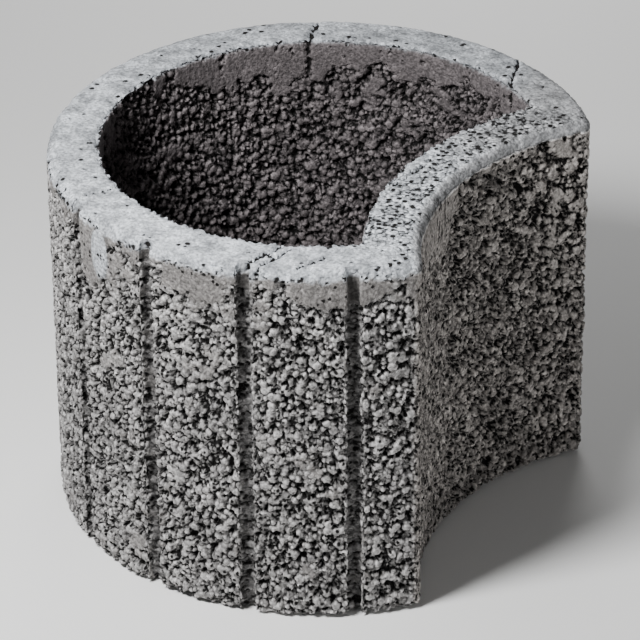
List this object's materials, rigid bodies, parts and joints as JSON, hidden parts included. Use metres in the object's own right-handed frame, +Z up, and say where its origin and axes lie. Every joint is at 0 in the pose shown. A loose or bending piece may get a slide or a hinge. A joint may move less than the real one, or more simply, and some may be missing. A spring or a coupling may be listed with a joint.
{
  "type": "concrete planter ring",
  "caption": "Open-bottomed round concrete planter ring with a curved bite that nests against the next ring, grooved on its display side.",
  "frame": {"origin": "on the ground below the middle of the casting's bounding box", "axes": "+Z up out of the open top, +X out of the bite, the grooved display side towards -Y"},
  "size_m": [0.3108, 0.35, 0.25],
  "materials": {
    "open_grained_concrete": "coarse open-grained grey concrete, cast, with a trowelled lighter rim"
  },
  "bodies": {
    "root": {"planter_ring": "open_grained_concrete"}
  },
  "joints": []
}
